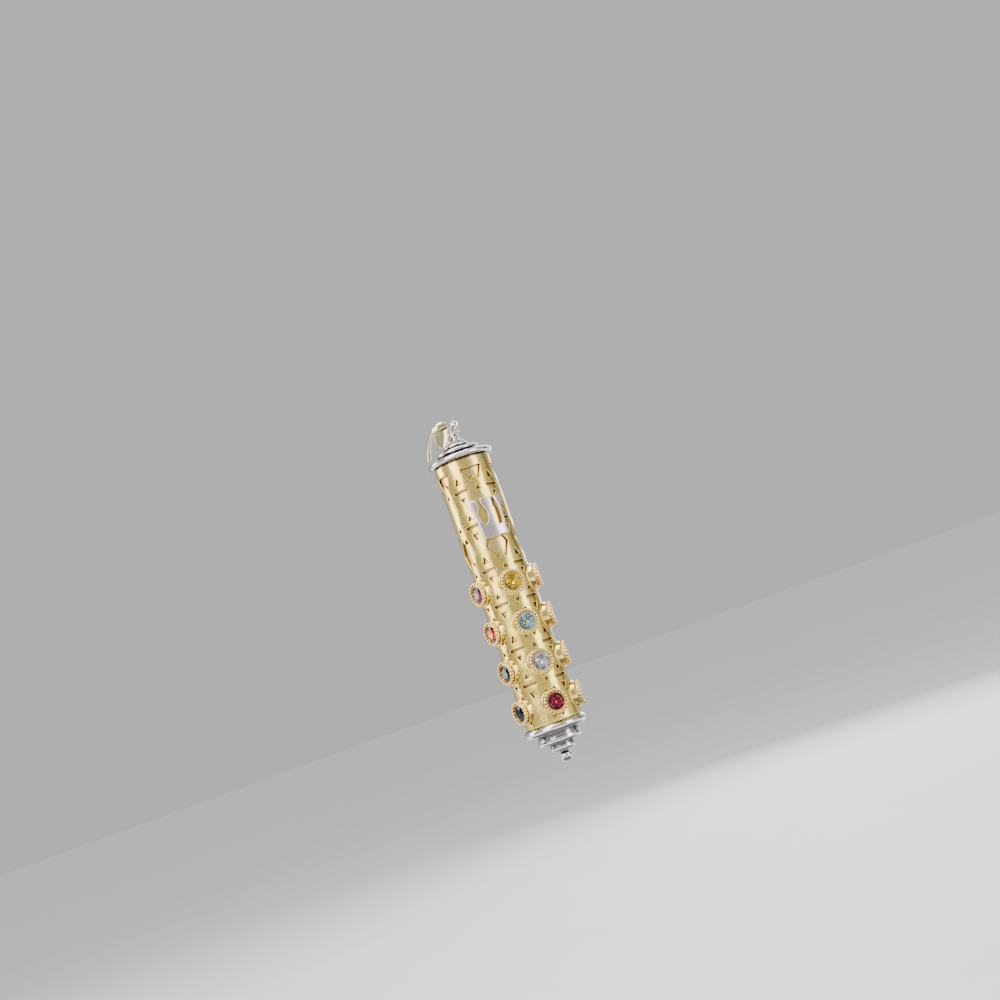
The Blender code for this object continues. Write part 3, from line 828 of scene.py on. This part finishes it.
def bail_section(station, along):
    """A thin crowned strip with round edges, square to the way along."""
    left, right, depth, height, crown = station
    outward = Vector((0, along.z, -along.y))
    side = Vector((1, 0, 0))
    half = min(BAIL_THICKNESS / 2, (right - left) * 0.49)
    across = 12
    middles = []
    for k in range(across + 1):
        share = k / across
        bulge = crown * (1 - (2 * share - 1) ** 2) - crown
        x = left + half + (right - left - 2 * half) * share
        middles.append(Vector((x, depth, height)) + outward * bulge)
    outer = [m + outward * BAIL_THICKNESS / 2 for m in middles]
    inner = [m - outward * BAIL_THICKNESS / 2 for m in middles]
    turns = [math.radians(30 * k) for k in range(1, 6)]
    edge = [outward * math.cos(t) * BAIL_THICKNESS / 2 + side * math.sin(t) * half for t in turns]
    right_edge = [middles[-1] + offset for offset in edge]
    left_edge = [middles[0] - offset for offset in edge]
    return outer + right_edge + inner[::-1] + left_edge


def make_bail(look):
    stations = bail_stations()
    last = len(stations) - 1
    steps = last * 5
    fine = [smooth_path(stations, i * last / steps) for i in range(steps + 1)]
    rows = []
    for i, station in enumerate(fine):
        before, after = fine[max(i - 1, 0)], fine[min(i + 1, steps)]
        along = Vector((0, after[2] - before[2], after[3] - before[3])).normalized()
        rows.append(bail_section(station, along))
    bm = bmesh.new()
    skin(bm, rows, ends=True)
    bail = add_object("folded_bail", bm, [look])
    major, minor = LUG_R
    turns = [2 * math.pi * k / 20 for k in range(20)]
    section = [Vector((major + minor * math.cos(t), minor * math.sin(t))) for t in turns]
    lug = add_object("bail_lug", turned(section, 64, closed=True), [look])
    place = Vector((RING_CENTRE.x, sum(RING_R) / 2, RING_CENTRE.z))
    lug.data.transform(Matrix.Translation(place * MM))
    join_solid(bail, lug)
    bail.data.transform(FITTINGS)
    stand_for(bail, "bail", "bail")


# ---------------------------------------------------------------- stage, light and camera

CAMERA_VIEW = (-15.0, -6.8)
CAMERA_ROLL = 19.85
CAMERA_DISTANCE = 250.0
FRAME_WIDTH = 175.3
SENSOR = 36.0
AIM = (4.17, 46.33)
FLOOR_Z = -0.09


def direction(azimuth, elevation):
    a, e = math.radians(azimuth), math.radians(elevation)
    return Vector((math.sin(a) * math.cos(e), -math.cos(a) * math.cos(e), math.sin(e)))


def make_camera():
    back = direction(*CAMERA_VIEW)
    up = (Vector((0, 0, 1)) - back * back.z).normalized()
    side = up.cross(back)
    roll = math.radians(CAMERA_ROLL)
    top = math.cos(roll) * up + math.sin(roll) * side
    right = top.cross(back)
    data = bpy.data.cameras.new("camera")
    data.sensor_width = SENSOR
    data.lens = SENSOR * CAMERA_DISTANCE / FRAME_WIDTH
    data.clip_start = 0.001
    data.clip_end = 20
    camera = bpy.data.objects.new("camera", data)
    bpy.context.scene.collection.objects.link(camera)
    across, height = AIM
    target = Vector((0, 0, height)) + across * side
    place = (target + back * CAMERA_DISTANCE) * MM
    camera.matrix_world = Matrix.Translation(place) @ Matrix((right, top, back)).transposed().to_4x4()
    bpy.context.scene.camera = camera


def add_light(name, azimuth, elevation, distance, size, power, colour=(1, 1, 1)):
    data = bpy.data.lights.new(name, "AREA")
    data.shape = "RECTANGLE"
    data.size, data.size_y = size
    data.energy = power
    data.color = colour
    light = bpy.data.objects.new(name, data)
    bpy.context.scene.collection.objects.link(light)
    centre = (CAD_BOX[0] + CAD_BOX[1]) / 2
    back = direction(azimuth, elevation)
    light.location = centre + back * distance
    light.rotation_mode = "QUATERNION"
    light.rotation_quaternion = back.to_track_quat("Z", "Y")


def add_sun():
    """A weak sun with a wide disc, which lights the whole floor evenly."""
    data = bpy.data.lights.new("floor_sun", "SUN")
    data.energy = 0.9
    data.angle = math.radians(40)
    sun = bpy.data.objects.new("floor_sun", data)
    bpy.context.scene.collection.objects.link(sun)
    sun.rotation_euler = (math.radians(25), math.radians(-15), 0)


def add_card(name, azimuth, elevation, distance, size):
    """A dark card for the polished metal to reflect; it is out of the picture."""
    bm = bmesh.new()
    bmesh.ops.create_grid(bm, x_segments=1, y_segments=1, size=0.5)
    mesh = bpy.data.meshes.new(name)
    bm.to_mesh(mesh)
    bm.free()
    card = bpy.data.objects.new(name, mesh)
    bpy.context.scene.collection.objects.link(card)
    back = direction(azimuth, elevation)
    card.scale = (*size, 1)
    card.location = (CAD_BOX[0] + CAD_BOX[1]) / 2 + back * distance
    card.rotation_mode = "QUATERNION"
    card.rotation_quaternion = back.to_track_quat("Z", "Y")
    card.visible_camera = False
    card.visible_shadow = False
    card.visible_diffuse = False
    mesh.materials.append(Look("dark_card", Base_Color=(0.08, 0.08, 0.085, 1), Roughness=0.9).material)


def make_stage():
    bm = bmesh.new()
    bmesh.ops.create_grid(bm, x_segments=8, y_segments=8, size=12.0)
    mesh = bpy.data.meshes.new("floor")
    bm.to_mesh(mesh)
    bm.free()
    floor = bpy.data.objects.new("floor", mesh)
    bpy.context.scene.collection.objects.link(floor)
    floor.location.z = FLOOR_Z
    look = Look("pale_floor", Roughness=0.75)
    tone = look.spread(look.noise(60), 0, 1)
    look.use("Base Color", look.mix(tone, (0.80, 0.80, 0.80), (0.77, 0.77, 0.78)))
    mesh.materials.append(look.material)
    world = bpy.data.worlds.new("studio")
    world.use_nodes = True
    background = world.node_tree.nodes["Background"]
    background.inputs["Color"].default_value = (0.97, 0.97, 1.0, 1)
    background.inputs["Strength"].default_value = 0.58
    bpy.context.scene.world = world
    add_light("key", -50, 28, 0.60, (0.34, 0.60), 3.2, (1.0, 0.97, 0.92))
    add_light("fill", 42, 12, 0.70, (0.30, 0.60), 2.6)
    add_light("top", 0, 86, 0.70, (0.50, 0.50), 4.6)
    add_light("back_left", 150, 22, 0.70, (0.35, 0.55), 3.2)
    add_light("back_right", -120, 20, 0.70, (0.30, 0.55), 3.0)
    add_sun()
    add_card("left_card", -104, 4, 0.75, (0.26, 0.80))
    add_card("right_card", 96, 4, 0.75, (0.26, 0.80))
    add_card("back_card", 180, 4, 0.75, (0.26, 0.80))
    add_card("low_card", 0, -90, 0.115, (0.26, 0.26))


# ---------------------------------------------------------------- build

# The dark crevice colours below are painted shade, mixed in where metal stands close to metal.
white_gold = metal(
    "white_gold", CAP_LIGHT, CAP_DEEP, (0.05, 0.13), bump=0.002, crevice_shade=CAP_GROOVE_SHADE, reach=0.9
).material
ring_gold = metal(
    "ring_white_gold", (0.88, 0.82, 0.78), (0.80, 0.62, 0.50), (0.08, 0.16), bump=0.002,
    crevice_shade=(0.34, 0.13, 0.06), reach=1.0
).material
tube_gold = metal(
    "satin_tube_gold", (1.0, 0.75, 0.28), (0.92, 0.62, 0.20), (0.24, 0.36),
    crevice_shade=(0.38, 0.18, 0.05), reach=0.55
).material
bezel_gold = metal(
    "rich_yellow_gold", (1.0, 0.80, 0.27), (0.95, 0.67, 0.17), (0.08, 0.18),
    crevice_shade=(0.40, 0.18, 0.03), reach=0.18
).material
emblem_gold = metal(
    "satin_white_gold", (0.92, 0.79, 0.73), (0.76, 0.63, 0.59), (0.18, 0.30), grain=0.18,
    crevice_shade=(0.20, 0.16, 0.16), reach=0.6
).material
bail_gold = metal(
    "greenish_gold", (0.84, 0.78, 0.42), (0.70, 0.64, 0.32), (0.06, 0.14),
    crevice_shade=(0.22, 0.20, 0.10), reach=0.8
).material

STONES = {
    "left": (
        ("purple", (0.45, 0.02, 0.22), (0.08, 0.0, 0.05)),
        ("orange", (1.0, 0.22, 0.002), (0.25, 0.015, 0.0)),
        ("violet", (0.07, 0.03, 0.09), (0.008, 0.004, 0.012)),
        ("black", (0.03, 0.028, 0.035), (0.004, 0.004, 0.005)),
    ),
    "middle": (
        ("yellow", (1.0, 0.84, 0.0), (0.66, 0.50, 0.0)),
        ("light_blue", (0.74, 0.90, 0.94), (0.26, 0.34, 0.36)),
        ("clear", (0.95, 0.95, 0.98), (0.50, 0.50, 0.54)),
        ("ruby", (0.75, 0.02, 0.26), (0.16, 0.0, 0.06)),
    ),
    "right": (
        ("green", (0.06, 0.55, 0.20), (0.01, 0.12, 0.04)),
        ("blue", (0.08, 0.18, 0.75), (0.01, 0.03, 0.20)),
        ("turquoise", (0.10, 0.70, 0.66), (0.02, 0.20, 0.20)),
        ("pink", (0.92, 0.40, 0.60), (0.40, 0.10, 0.20)),
    ),
}
gems = {
    column: [(f"stone_{name}", gem(name, bright, dark)) for name, bright, dark in stones]
    for column, stones in STONES.items()
}

make_tube(tube_gold)
make_sleeve(sleeve_gold())
caps = cap_gold()
make_top_cap(caps)
make_bottom_cap(caps)
make_finial(white_gold)
make_bezels(bezel_gold)
make_stones(gems)
make_emblem(emblem_gold)
make_eye(white_gold)
make_ring(ring_gold)
make_bail(bail_gold)
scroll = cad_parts["parchment_scroll"]
scroll.data.materials.clear()
scroll.data.materials.append(parchment_look())

make_stage()
make_camera()
